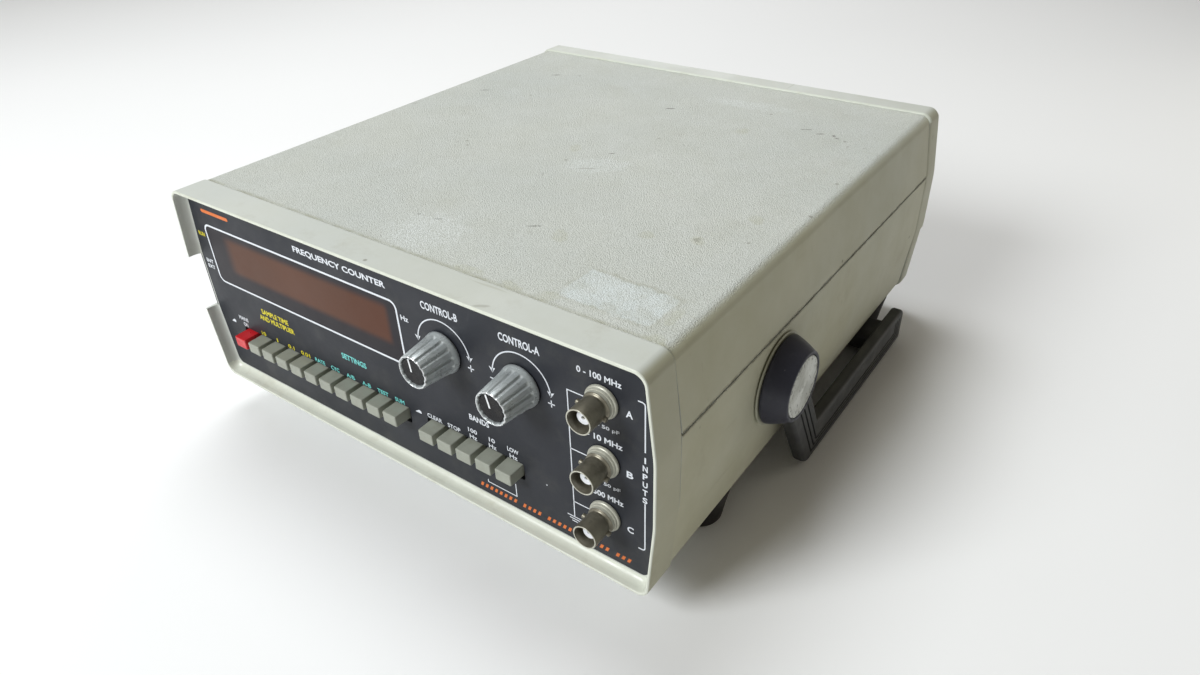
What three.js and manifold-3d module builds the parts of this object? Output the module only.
// Bench frequency counter: two-piece plastic case between a front and a rear bezel, a front panel
// with display window, sixteen push buttons, two trigger knobs and three coaxial inputs, and a
// U-shaped carrying handle that turns on two hubs. Millimetres, +Z up, the front faces -Y.
// The origin is the centre of the bounding box, on the plane that the feet stand on.
import * as THREE from 'three';
import { mergeVertices } from 'three/addons/utils/BufferGeometryUtils.js';
import Module from 'manifold-3d';

const wasm = await Module();
wasm.setup();

// ---------------------------------------------------------------- driving dimensions
const PANEL_Y = -124.1;      // front plane of the front panel
const FLOOR = 34.0;          // height of the panel datum (z = 0 below) above the feet's soles
const GAP = 0.3;             // running gap between touching pieces

// case section, measured from the panel datum: half widths and heights
const TOP_Z = 80.2, BOT_Z = -17.0;
const HI_Z = 47.5, LO_Z = 19.0;              // the two bends of the bowed sides
const HALF_TOP = 122.3, HALF_MID = 126.0, HALF_BOT = 122.9;
const CORNER_R = 5.0;
const SEAM_Z = 48.5;                         // joint between top and bottom cover
const WALL = 2.8;

// depths along Y, from the panel plane
const LIP_Y = -5.4, BEZEL_END = 10.0;
const COVER_START = 10.3, COVER_END = 251.5;
const REAR_START = 251.8, REAR_END = 264.1, REAR_PANEL_Y = 257.6;
const PANEL_T = 1.6;

// lip opening
const LIP_SIDE = 1.5, LIP_TOP = 1.7, LIP_BOT = 4.2;
const NOTCH_LO = 18.8, NOTCH_HI = 46.4, NOTCH_BACK = 1.5;

// push buttons
const PITCH = 10.0, BTN_W = 7.7, BTN_H = 5.4, BTN_OUT = 6.85, BTN_TOP = 12.04;
const BANK1_X0 = -103.8, BANK1_N = 11;       // left edge of the first button, count
const BANK2_X0 = 16.8, BANK2_N = 5;
const SLOT_LO = 5.2, SLOT_HI = 13.0;

// knobs, inputs
const KNOB_X = { b: 31.6, a: 68.2 }, KNOB_Z = 50.9;
const KNOB_LEN = 15.9, KNOB_R_BASE = 8.5, KNOB_R_TOP = 6.7;
const BNC_X = 102.5, BNC_Z = { a: 59.1, b: 33.9, c: 8.75 };

// display window, from panel datum
const WIN = { x0: -112.4, x1: 8.3, z0: 36.2, z1: 63.6 };

// handle
const HUB_Y = 82.6, HUB_Z = 26.6;            // pivot axis, from panel plane and datum
const HUB_IN = 127.3, HUB_OUT = 137.2, HUB_R_IN = 18.4, HUB_R_OUT = 14.3;
const ARM_IN = 128.0, ARM_OUT = 134.2;
const LEG_DIR = [0.489, -0.873];             // short leg, in (Y, Z)
const LEG_FRONT = -8.6, LEG_REAR = 8.8;      // edges of the short leg either side of the axis
const ARM_Z0 = -32.5, ARM_Z1 = -14.0, ARM_END = 227.0;
const GRIP = { y0: 202.0, y1: 222.0, z0: -32.0, z1: -20.5, half: 127.7 };

// feet
const FOOT_X = 108.1, FOOT_Y = [56.9, 236.0], FOOT_R = 10.3, FOOT_R_TOP = 13.2;

// ---------------------------------------------------------------- helpers
const V2 = (x, y) => new THREE.Vector2(x, y);

function clean(geometry) {
  let g = geometry.clone();
  g.deleteAttribute('normal');
  g.deleteAttribute('uv');
  return mergeVertices(g, 1e-4);
}
function toSolid(geometry) {
  const g = clean(geometry);
  const p = g.attributes.position.array, idx = Array.from(g.index.array);
  const tri = [];
  for (let i = 0; i < idx.length; i += 3) {
    const [a, b, c] = [idx[i], idx[i + 1], idx[i + 2]];
    if (a !== b && b !== c && a !== c) tri.push(a, b, c);
  }
  let vol = 0;
  for (let i = 0; i < tri.length; i += 3) {
    const [a, b, c] = [3 * tri[i], 3 * tri[i + 1], 3 * tri[i + 2]];
    vol += p[a] * (p[b + 1] * p[c + 2] - p[b + 2] * p[c + 1])
         - p[a + 1] * (p[b] * p[c + 2] - p[b + 2] * p[c])
         + p[a + 2] * (p[b] * p[c + 1] - p[b + 1] * p[c]);
  }
  if (vol < 0) for (let i = 0; i < tri.length; i += 3) [tri[i + 1], tri[i + 2]] = [tri[i + 2], tri[i + 1]];
  return new wasm.Manifold(new wasm.Mesh({
    numProp: 3, vertProperties: Float32Array.from(p), triVerts: Uint32Array.from(tri),
  }));
}
function toGeometry(solid) {
  const m = solid.getMesh();
  const g = new THREE.BufferGeometry();
  const n = m.vertProperties.length / m.numProp, pos = new Float32Array(3 * n);
  for (let i = 0; i < n; i++) for (let k = 0; k < 3; k++) pos[3 * i + k] = m.vertProperties[i * m.numProp + k];
  g.setAttribute('position', new THREE.BufferAttribute(pos, 3));
  g.setIndex(new THREE.BufferAttribute(Uint32Array.from(m.triVerts), 1));
  g.computeVertexNormals();
  return g;
}
const join = (...parts) => parts.map((p) => (p.isBufferGeometry ? toSolid(p) : p)).reduce((a, b) => a.add(b));
const cut = (base, ...tools) => tools.map((p) => (p.isBufferGeometry ? toSolid(p) : p))
  .reduce((a, b) => a.subtract(b), base.isBufferGeometry ? toSolid(base) : base);

// closed outline of points [x, y, corner radius], corners turned into arcs of n chords
function outline(points, n = 4) {
  const out = [];
  const N = points.length;
  for (let i = 0; i < N; i++) {
    const [x, y, r = 0] = points[i];
    if (!r) { out.push(V2(x, y)); continue; }
    const p = V2(x, y);
    const a = V2(...points[(i + N - 1) % N].slice(0, 2)).sub(p).normalize();
    const b = V2(...points[(i + 1) % N].slice(0, 2)).sub(p).normalize();
    const half = Math.acos(THREE.MathUtils.clamp(a.dot(b), -1, 1)) / 2;
    const t = r / Math.tan(half);
    const c = a.clone().add(b).normalize().multiplyScalar(r / Math.sin(half)).add(p);
    const s = a.clone().multiplyScalar(t).add(p), e = b.clone().multiplyScalar(t).add(p);
    let a0 = Math.atan2(s.y - c.y, s.x - c.x), a1 = Math.atan2(e.y - c.y, e.x - c.x);
    while (a1 - a0 > Math.PI) a1 -= 2 * Math.PI;
    while (a1 - a0 < -Math.PI) a1 += 2 * Math.PI;
    for (let k = 0; k <= n; k++) {
      const q = a0 + ((a1 - a0) * k) / n;
      out.push(V2(c.x + r * Math.cos(q), c.y + r * Math.sin(q)));
    }
  }
  return out;
}
const shapeOf = (pts, holes = []) => {
  const s = new THREE.Shape(pts);
  for (const h of holes) s.holes.push(new THREE.Path(h));
  return s;
};
const circle = (x, y, r, n = 32, a0 = 0) => Array.from({ length: n }, (_, i) =>
  V2(x + r * Math.cos(a0 + (2 * Math.PI * i) / n), y + r * Math.sin(a0 + (2 * Math.PI * i) / n)));
const rect = (x0, x1, y0, y1, r = 0, n = 3) => outline([[x0, y0, r], [x1, y0, r], [x1, y1, r], [x0, y1, r]], n);

const AXES = {
  // section drawn in (X, Z), swept along Y
  Y: new THREE.Matrix4().set(1, 0, 0, 0, 0, 0, -1, 0, 0, 1, 0, 0, 0, 0, 0, 1),
  // section drawn in (Y, Z), swept along X
  X: new THREE.Matrix4().set(0, 0, 1, 0, 1, 0, 0, 0, 0, 1, 0, 0, 0, 0, 0, 1),
};
function alongY(shape, y0, y1) {
  const g = new THREE.ExtrudeGeometry(shape, { depth: y1 - y0, bevelEnabled: false, steps: 1 });
  return g.applyMatrix4(AXES.Y).translate(0, y1, 0);
}
function alongX(shape, x0, x1) {
  const g = new THREE.ExtrudeGeometry(shape, { depth: x1 - x0, bevelEnabled: false, steps: 1 });
  return g.applyMatrix4(AXES.X).translate(x0, 0, 0);
}
function alongZ(shape, z0, z1) {
  return new THREE.ExtrudeGeometry(shape, { depth: z1 - z0, bevelEnabled: false, steps: 1 }).translate(0, 0, z0);
}
const box = (x0, x1, y0, y1, z0, z1) =>
  new THREE.BoxGeometry(x1 - x0, y1 - y0, z1 - z0).translate((x0 + x1) / 2, (y0 + y1) / 2, (z0 + z1) / 2);
// turned piece: profile of [radius, position along the axis]
const turned = (profile, n = 32) => new THREE.LatheGeometry(profile.map(([r, t]) => V2(r, t)), n);
const turnedZ = (profile, n = 32) => turned(profile, n).rotateX(Math.PI / 2);
// profile position runs along +Y
const turnedY = (profile, n = 32) => turned(profile, n);
// profile position runs along +X
const turnedX = (profile, n = 32) => turned(profile, n).rotateZ(-Math.PI / 2);

// bowed case outline, pulled in by the given amounts at the sides, top and bottom
function caseOutline(side = 0, top = side, bottom = side, r = CORNER_R, n = 4) {
  const k = (TOP_Z - HI_Z), m = (LO_Z - BOT_Z);
  const ht = HALF_TOP + ((HALF_MID - HALF_TOP) * top) / k, hb = HALF_BOT + ((HALF_MID - HALF_BOT) * bottom) / m;
  const zt = TOP_Z - top, zb = BOT_Z + bottom;
  return outline([
    [-(hb - side), zb, r], [hb - side, zb, r], [HALF_MID - side, LO_Z, 0], [HALF_MID - side, HI_Z, 0],
    [ht - side, zt, r], [-(ht - side), zt, r], [-(HALF_MID - side), HI_Z, 0], [-(HALF_MID - side), LO_Z, 0],
  ], n);
}

// ---------------------------------------------------------------- materials
const mat = (color, roughness, metalness = 0) => new THREE.MeshStandardMaterial({ color, roughness, metalness });
const M = {
  case: mat('#c3c5b6', 0.62), panel: mat('#3b3e44', 0.5), window: mat('#5d3a2e', 0.15),
  grey: mat('#a3a294', 0.55), red: mat('#c4262c', 0.4), silver: mat('#9aa2a2', 0.35, 0.8),
  black: mat('#1f1f22', 0.5), nickel: mat('#8b8674', 0.35, 0.9), ptfe: mat('#e9e9e6', 0.5),
  handle: mat('#3a3836', 0.6), hub: mat('#2d2e3c', 0.45), disc: mat('#aaa99c', 0.45, 0.8),
  washer: mat('#bfc0b0', 0.5), rubber: mat('#1b1918', 0.85), board: mat('#2f5a35', 0.6),
  steel: mat('#8d9094', 0.4, 0.9), iron: mat('#55504a', 0.6, 0.5), alu: mat('#9c9d9a', 0.5, 0.8),
};

// the counter's own group: X centred, Y from the panel plane, Z from the panel datum
const counter = new THREE.Group();
counter.position.set(0, PANEL_Y, FLOOR);
function put(name, geometry, material, parent = counter, at = [0, 0, 0]) {
  const mesh = new THREE.Mesh(geometry.isBufferGeometry ? geometry : toGeometry(geometry), material);
  mesh.name = name;
  mesh.position.set(...at);
  parent.add(mesh);
  return mesh;
}

// ---------------------------------------------------------------- case
const opening = (extra = 0) => caseOutline(LIP_SIDE + extra, LIP_TOP + extra, LIP_BOT + extra, 4.0 - Math.min(extra, 2.5));
{
  // the lip and band are one ring, with a ledge behind the panel and a notch in the left lip
  const ring = alongY(shapeOf(caseOutline(), [opening()]), LIP_Y, BEZEL_END);
  const ledge = alongY(shapeOf(opening(-0.6), [opening(4)]), PANEL_T + GAP, PANEL_T + GAP + 2.2);
  const notch = box(-130, -HALF_MID + LIP_SIDE + 1.2, LIP_Y - 1, NOTCH_BACK, NOTCH_LO, NOTCH_HI);
  put('front_bezel', cut(join(ring, ledge), notch), M.case);
}
{
  const ring = alongY(shapeOf(caseOutline(-0.4), [caseOutline(1.6, 1.8, 2.0, 4)]), REAR_START, REAR_END);
  const ledge = alongY(shapeOf(caseOutline(1.2, 1.4, 1.6, 4), [caseOutline(5.6, 5.8, 6.0, 2)]),
    REAR_PANEL_Y - GAP - 2.2, REAR_PANEL_Y - GAP);
  // the lip is shorter below the lower bend
  const short = box(-130, 130, REAR_PANEL_Y + 2.6, REAR_END + 1, BOT_Z - 2, 16);
  put('rear_bezel', cut(join(ring, ledge), short), M.case);
}
{
  const i = 0.5, t = TOP_Z - i, ht = HALF_TOP - i, z = SEAM_Z + GAP / 2;
  put('top_cover', alongY(shapeOf(outline([
    [HALF_MID - 0.15, z], [ht, t, CORNER_R], [-ht, t, CORNER_R], [-HALF_MID + 0.15, z],
    [-HALF_MID + 0.15 + WALL, z], [-ht + WALL, t - WALL, 2.4], [ht - WALL, t - WALL, 2.4], [HALF_MID - 0.15 - WALL, z],
  ])), COVER_START, COVER_END), M.case);
}
{
  const i = 0.9, b = BOT_Z, hb = HALF_BOT - i, z = SEAM_Z - GAP / 2, hm = HALF_MID - 0.15;
  const tray = alongY(shapeOf(outline([
    [hm, z], [hm - WALL, z], [hm - WALL, LO_Z, 0], [hb - WALL, b + WALL, 2.4], [-hb + WALL, b + WALL, 2.4],
    [-hm + WALL, LO_Z, 0], [-hm + WALL, z], [-hm, z], [-hm, LO_Z, 0], [-hb, b, CORNER_R], [hb, b, CORNER_R], [hm, LO_Z, 0],
  ])), COVER_START, COVER_END);
  // board posts on the floor, and a hole for each pivot stud
  const posts = [[-84, 60], [84, 60], [-84, 150], [84, 150], [30, 225], [84, 225]]
    .map(([x, y]) => alongZ(shapeOf(circle(x, y, 3.2, 8)), b + WALL - 0.5, -4.3));
  const studs = [-1, 1].map((s) => alongX(shapeOf(circle(HUB_Y, HUB_Z, 4.3, 16)), s > 0 ? 118 : -132, s > 0 ? 132 : -118));
  put('bottom_cover', cut(join(tray, ...posts), ...studs), M.case);
}
{
  const slots = [[BANK1_X0 - 1.3, BANK1_X0 + PITCH * (BANK1_N - 1) + BTN_W + 1.5], [BANK2_X0 - 1.3, BANK2_X0 + PITCH * (BANK2_N - 1) + BTN_W + 1.0]]
    .map(([x0, x1]) => rect(x0, x1, SLOT_LO, SLOT_HI));
  const holes = [
    rect(WIN.x0 - GAP, WIN.x1 + GAP, WIN.z0 - GAP, WIN.z1 + GAP, 3.3),
    ...slots,
    ...Object.values(KNOB_X).map((x) => circle(x, KNOB_Z, 5.0, 16)),
    ...Object.values(BNC_Z).map((z) => circle(BNC_X, z, 5.1, 16)),
  ];
  const plate = cut(alongY(shapeOf(opening(GAP)), 0, PANEL_T), ...holes.map((h) => alongY(shapeOf(h), -1, PANEL_T + 1)));
  // four studs carry the display board
  const studs = [[-115.5, 33], [11.5, 33], [-115.5, 67], [11.5, 67]]
    .map(([x, z]) => alongY(shapeOf(circle(x, z, 2.2, 8)), PANEL_T - 0.4, 13.4));
  put('front_panel', join(plate, ...studs), M.panel);
}
put('display_window', alongY(shapeOf(rect(WIN.x0, WIN.x1, WIN.z0, WIN.z1, 3.0)), 0, 3.0), M.window);
{
  // inlet cut-out, fuse hole and rows of vent slots
  const vents = [];
  for (let i = 0; i < 9; i++) vents.push(rect(-16 + i * 8, -13 + i * 8, 10, 52));
  const plate = cut(alongY(shapeOf(caseOutline(1.6 + GAP, 1.8 + GAP, 2.0 + GAP, 3.7)), REAR_PANEL_Y, REAR_PANEL_Y + PANEL_T),
    ...[rect(-92.3, -63.7, 4.7, 25.3, 2), circle(-46, 15, 6.4, 16), ...vents]
      .map((h) => alongY(shapeOf(h), REAR_PANEL_Y - 1, REAR_PANEL_Y + PANEL_T + 1)));
  put('rear_panel', plate, M.panel);
}

// ---------------------------------------------------------------- push buttons and switch banks
function button() {
  const s = shapeOf(rect(0.5, BTN_W - 0.5, -BTN_H + 0.5, -0.5));
  const head = new THREE.ExtrudeGeometry(s, {
    depth: BTN_OUT + 2.0 - 1.0, bevelEnabled: true, bevelSize: 0.5, bevelThickness: 0.5, bevelSegments: 2, steps: 1,
  }).applyMatrix4(AXES.Y).translate(0, -BTN_OUT + BTN_OUT + 2.0 - 0.5, 0);
  const stem = box(BTN_W / 2 - 1.5, BTN_W / 2 + 1.5, 1.0, 24.0, -BTN_H / 2 - 1.2, -BTN_H / 2 + 1.2);
  return join(head, stem);
}
const buttonGeometry = toGeometry(button());
const buttonName = (bank, i) => (bank === 1 ? (i === 0 ? 'power_button' : `function_button_${i}`) : `range_button_${i + 1}`);
for (const [bank, x0, n] of [[1, BANK1_X0, BANK1_N], [2, BANK2_X0, BANK2_N]]) {
  const row = new THREE.Group();
  row.position.set(x0, 0, BTN_TOP);
  counter.add(row);
  for (let i = 0; i < n; i++) put(buttonName(bank, i), buttonGeometry.clone(), bank === 1 && i === 0 ? M.red : M.grey, row, [PITCH * i, 0, 0]);
  // switch bank: one block with a guide channel for each plunger
  const zc = BTN_TOP - BTN_H / 2;
  const block = box(x0 - 3, x0 + PITCH * (n - 1) + BTN_W + 3, 12, 42, -2.0, 15.0);
  const channels = Array.from({ length: n }, (_, i) => {
    const xc = x0 + PITCH * i + BTN_W / 2;
    return box(xc - 1.9, xc + 1.9, 11, 43, zc - 1.6, zc + 1.6);
  });
  put(bank === 1 ? 'function_switch_bank' : 'range_switch_bank', cut(block, ...channels), M.steel);
}

// ---------------------------------------------------------------- trigger knobs
function knob() {
  // fluted barrel, tapered, with a plain skirt ring at its foot
  const flutes = 14, per = 4;
  const section = (r, depth) => Array.from({ length: flutes * per }, (_, i) => {
    const a = (2 * Math.PI * i) / (flutes * per), k = (i % per) / per;
    const f = k === 0 ? 1 : 0;
    return V2((r - depth * f) * Math.cos(a), (r - depth * f) * Math.sin(a));
  });
  const z0 = 2.2, z1 = KNOB_LEN - 0.2;
  const g = new THREE.ExtrudeGeometry(shapeOf(section(1, 0.055)), { depth: 1, bevelEnabled: false, steps: 1 });
  const p = g.attributes.position;
  for (let i = 0; i < p.count; i++) {
    const t = p.getZ(i), r = THREE.MathUtils.lerp(KNOB_R_BASE - 0.35, KNOB_R_TOP, t);
    p.setXYZ(i, p.getX(i) * r, p.getY(i) * r, z0 - 0.5 + (z1 - z0 + 0.5) * t);
  }
  const barrel = toSolid(g.applyMatrix4(AXES.Y));                       // runs along -Y from 0
  const skirt = toSolid(turnedY([[0, -2.6], [KNOB_R_BASE - 0.5, -2.6], [KNOB_R_BASE, -2.0], [KNOB_R_BASE, -0.35], [0, -0.35]], 28));
  const rim = toSolid(turnedY([[0, -KNOB_LEN], [KNOB_R_TOP - 0.35, -KNOB_LEN], [KNOB_R_TOP, -KNOB_LEN + 0.5], [KNOB_R_TOP + 0.05, -KNOB_LEN + 1.2], [0, -KNOB_LEN + 1.2]], 28));
  const recess = toSolid(turnedY([[0, -KNOB_LEN - 1], [5.9, -KNOB_LEN - 1], [5.9, -KNOB_LEN + 1.9], [0, -KNOB_LEN + 1.9]], 24));
  const bore = toSolid(turnedY([[0, -11.5], [3.35, -11.5], [3.35, 1], [0, 1]], 16));
  return barrel.add(skirt).add(rim).subtract(recess).subtract(bore);
}
const knobGeometry = toGeometry(knob());
for (const k of ['a', 'b']) {
  const g = new THREE.Group();
  g.position.set(KNOB_X[k], 0, KNOB_Z);
  counter.add(g);
  put(`trigger_knob_${k}`, knobGeometry.clone(), M.silver, g);
  const lid = turnedY([[0, -KNOB_LEN + 0.55], [5.3, -KNOB_LEN + 0.55], [5.6, -KNOB_LEN + 0.8], [5.6, -KNOB_LEN + 1.6], [0, -KNOB_LEN + 1.6]], 24);
  put(`knob_cap_${k}`, lid, M.black, g);
  put(`pot_shaft_${k}`, turnedY([[0, -11.2], [2.6, -11.2], [3.0, -10.8], [3.0, 12.0], [0, 12.0]], 16), M.alu, g);
  const body = turnedY([[3.3, -0.05], [4.6, -0.05], [4.6, 3.2], [8.5, 3.2], [8.5, 13.6], [0, 13.6], [0, 12.4], [3.3, 12.4], [3.3, -0.05]], 16);
  put(`trigger_pot_${k}`, body, M.steel, g);
}

// ---------------------------------------------------------------- coaxial inputs
function connector() {
  const shell = toSolid(turnedY([
    [0, -13.0], [4.8, -13.0], [4.8, -4.5], [5.3, -4.3], [5.3, -2.6], [6.35, -2.2],
    [6.35, -0.3], [4.75, -0.3], [4.75, 9.0], [0, 9.0],
  ], 20));
  const hollow = toSolid(turnedY([[0, -14], [4.15, -14], [4.15, -3.8], [2.9, -3.8], [2.9, 10], [0, 10]], 20));
  const lugs = [-1, 1].map((s) => toSolid(turnedX([[0, 0], [0.95, 0], [0.95, 1.7], [0, 1.7]], 8)
    .rotateZ(s > 0 ? 0 : Math.PI).translate(s * 4.3, -5.7, 0)));
  return shell.subtract(hollow).add(lugs[0]).add(lugs[1]);
}
const connectorGeometry = toGeometry(connector());
for (const k of ['a', 'b', 'c']) {
  const g = new THREE.Group();
  g.position.set(BNC_X, 0, BNC_Z[k]);
  counter.add(g);
  put(`input_connector_${k}`, connectorGeometry.clone(), M.nickel, g);
  // insulator with the bore of its centre contact
  put(`connector_insert_${k}`, turnedY([[0, -6.5], [0.6, -6.5], [0.6, -10.3], [2.55, -10.3], [2.55, 11.5], [0, 11.5]], 16), M.ptfe, g);
}

// ---------------------------------------------------------------- handle
function armSection(extra = 0, hubR = 12.0) {
  const [dy, dz] = LEG_DIR, ny = -dz, nz = dy;
  const at = (s, o) => [HUB_Y + s * dy + o * ny, HUB_Z + s * dz + o * nz];
  const onZ = (o, z) => (HUB_Z + o * nz - z) / -dz;                 // distance down the leg at which an edge reaches z
  const f = LEG_FRONT - extra, r = LEG_REAR + extra, z0 = ARM_Z0 - extra, z1 = ARM_Z1 + extra;
  const [fy] = at(onZ(f, z0), f), [ry] = at(onZ(r, z1), r);
  return { leg: outline([
    [...at(-2, f)], [fy, z0, 6.5], [ARM_END + extra, z0, 2.5], [ARM_END + extra, z1, 3.5], [ry, z1, 2.0], [...at(-2, r)],
  ].map((q) => q), 4), boss: circle(HUB_Y, HUB_Z, hubR + extra, 24) };
}
function arm() {
  const { leg, boss } = armSection();
  const a = join(alongX(shapeOf(leg), ARM_IN, ARM_OUT), alongX(shapeOf(boss), ARM_IN, ARM_OUT));
  return cut(a, alongX(shapeOf(circle(HUB_Y, HUB_Z, 4.4, 16)), ARM_IN - 1, ARM_OUT + 1));
}
function hub() {
  const cup = turnedX([[0, HUB_IN], [HUB_R_IN - 0.6, HUB_IN], [HUB_R_IN, HUB_IN + 0.8], [HUB_R_OUT + 0.3, HUB_OUT - 0.5], [HUB_R_OUT - 0.2, HUB_OUT], [0, HUB_OUT]], 28)
    .translate(0, HUB_Y, HUB_Z);
  const recess = alongX(shapeOf(circle(HUB_Y, HUB_Z, 13.1, 28)), HUB_OUT - 1.2, HUB_OUT + 1);
  const { leg, boss } = armSection(0.35);
  const slot = alongX(shapeOf(leg), HUB_IN - 1, ARM_OUT + 0.35), seat = alongX(shapeOf(boss), HUB_IN - 1, ARM_OUT + 0.35);
  return cut(cup, recess, slot, seat);
}
function mirrored(solid) { return solid.mirror([1, 0, 0]); }
const armSolid = arm(), hubSolid = hub();
const washerSolid = toSolid(turnedX([[5, 0], [19.3, 0], [19.3, 0.8], [5, 0.8], [5, 0]], 24).translate(HALF_MID + 0.2, HUB_Y, HUB_Z));
const discSolid = toSolid(turnedX([[0, 0], [12.8, 0], [12.8, 0.6], [12.5, 0.85], [0, 0.85]], 28).translate(HUB_OUT - 1.2 + 0.25, HUB_Y, HUB_Z));
const studSolid = toSolid(turnedX([[0, 119.4], [7.5, 119.4], [7.5, 122.2], [4.0, 122.2], [4.0, ARM_OUT + 0.1], [0, ARM_OUT + 0.1]], 16).translate(0, HUB_Y, HUB_Z));
const handle = new THREE.Group();
counter.add(handle);
for (const [side, f] of [['right', (s) => s], ['left', mirrored]]) {
  put(`handle_arm_${side}`, f(armSolid), M.handle, handle);
  put(`hub_cap_${side}`, f(hubSolid), M.hub, handle);
  put(`hub_disc_${side}`, f(discSolid), M.disc, handle);
  put(`hub_washer_${side}`, f(washerSolid), M.washer);
  put(`pivot_stud_${side}`, f(studSolid), M.steel);
}
put('handle_grip', alongX(shapeOf(outline([
  [GRIP.y0, GRIP.z0, 3], [GRIP.y1, GRIP.z0, 3], [GRIP.y1, GRIP.z1, 3], [GRIP.y0, GRIP.z1, 3]], 3)), -GRIP.half, GRIP.half), M.handle, handle);

// ---------------------------------------------------------------- feet
const footGeometry = turnedZ([[0, 0], [FOOT_R - 1.6, 0], [FOOT_R - 0.5, 0.5], [FOOT_R, 1.6], [FOOT_R_TOP - 0.8, 12.5], [FOOT_R_TOP, 16.7], [0, 16.7]], 20);
for (const [sx, side] of [[-1, 'left'], [1, 'right']]) for (const [i, end] of [[0, 'front'], [1, 'rear']]) {
  put(`foot_${end}_${side}`, footGeometry.clone(), M.rubber, counter, [sx * FOOT_X, FOOT_Y[i], -FLOOR]);
}

// ---------------------------------------------------------------- inside
{
  // main board, with its rear left corner cut away for the transformer
  const s = shapeOf([V2(-112, 14), V2(112, 14), V2(112, 232), V2(-20, 232), V2(-20, 168), V2(-112, 168)]);
  put('main_board', alongZ(s, -4.0, -2.4), M.board);
}
put('display_board', box(-119, 15, 13.7, 15.3, 17, 70), M.board);
put('display_module', box(-104, 2, 5.2, 13.4, 40, 59.5), M.black);
{
  const core = box(-92, -44, 180, 222, -13.9, 26);
  const coil = box(-84, -52, 172.5, 229.5, -6, 18);
  put('mains_transformer', join(core, coil), M.iron);
}
{
  // flanged inlet with a cavity and three blades, facing the rear
  const y = REAR_PANEL_Y + PANEL_T;
  const flange = alongY(shapeOf(rect(-95, -61, 1, 29, 3)), y + GAP, y + GAP + 2.2);
  const body = alongY(shapeOf(rect(-92, -64, 5, 25, 1.5)), y - 19, y + GAP + 1);
  const cavity = alongY(shapeOf(rect(-90, -66, 7, 23, 3)), y - 16.5, y + 6);
  const blades = [[-85, 12.2], [-71, 12.2], [-78, 18]].map(([x, z]) => box(x - 1, x + 1, y - 17, y - 4.6, z - 2, z + 2));
  put('mains_inlet', join(cut(join(flange, body), cavity), ...blades), M.black);
}
put('fuse_holder', toSolid(turnedY([[0, 0], [6.0, 0], [6.0, 28], [8.5, 28], [8.5, 30.2], [5.8, 31.4], [0, 31.4]], 16)
  .translate(-46, REAR_PANEL_Y + PANEL_T + GAP - 28, 15)), M.black);

// ---------------------------------------------------------------- object
const frequencyCounter = new THREE.Group();
frequencyCounter.name = 'frequency_counter';
frequencyCounter.add(counter);
export default frequencyCounter;
